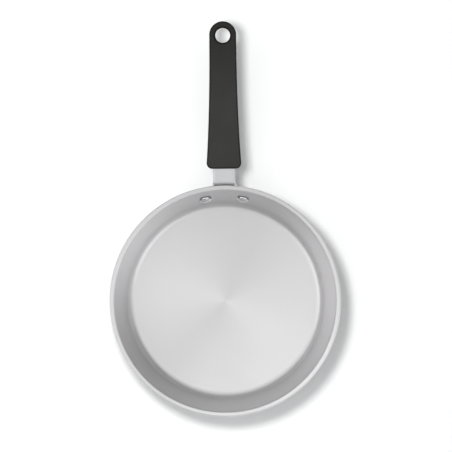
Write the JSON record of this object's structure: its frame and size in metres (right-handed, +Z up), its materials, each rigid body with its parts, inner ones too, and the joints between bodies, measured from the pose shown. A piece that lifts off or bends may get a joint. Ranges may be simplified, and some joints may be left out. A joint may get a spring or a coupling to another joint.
{
  "type": "frying pan",
  "caption": "Round frying pan with a thick sloped wall, a level bar handle riveted outside it, and a slip-on flared silicone grip with a hanging hole.",
  "frame": {"origin": "centre of the flat base, on the surface that the pan stands on", "axes": "+Z up along the dish's axis, +Y along the handle from the dish to the hanging hole, +X to the right seen from above with the handle pointing away"},
  "size_m": [0.254, 0.434, 0.0522],
  "materials": {
    "pan_aluminium": "satin, turned in fine rings",
    "handle_steel": "satin, brushed along the bar",
    "rivet_metal": "smooth, struck",
    "grip_silicone": "matt, moulded"
  },
  "bodies": {
    "pan": {"pan_body": "pan_aluminium", "handle": "handle_steel", "rivet_left": "rivet_metal", "rivet_right": "rivet_metal"},
    "grip": {"grip_sleeve": "grip_silicone"}
  },
  "joints": [
    {"name": "grip_slide", "type": "slide", "parent": "pan", "child": "grip", "axis": [0, 1, 0], "range_m": [0, 0.165]}
  ]
}
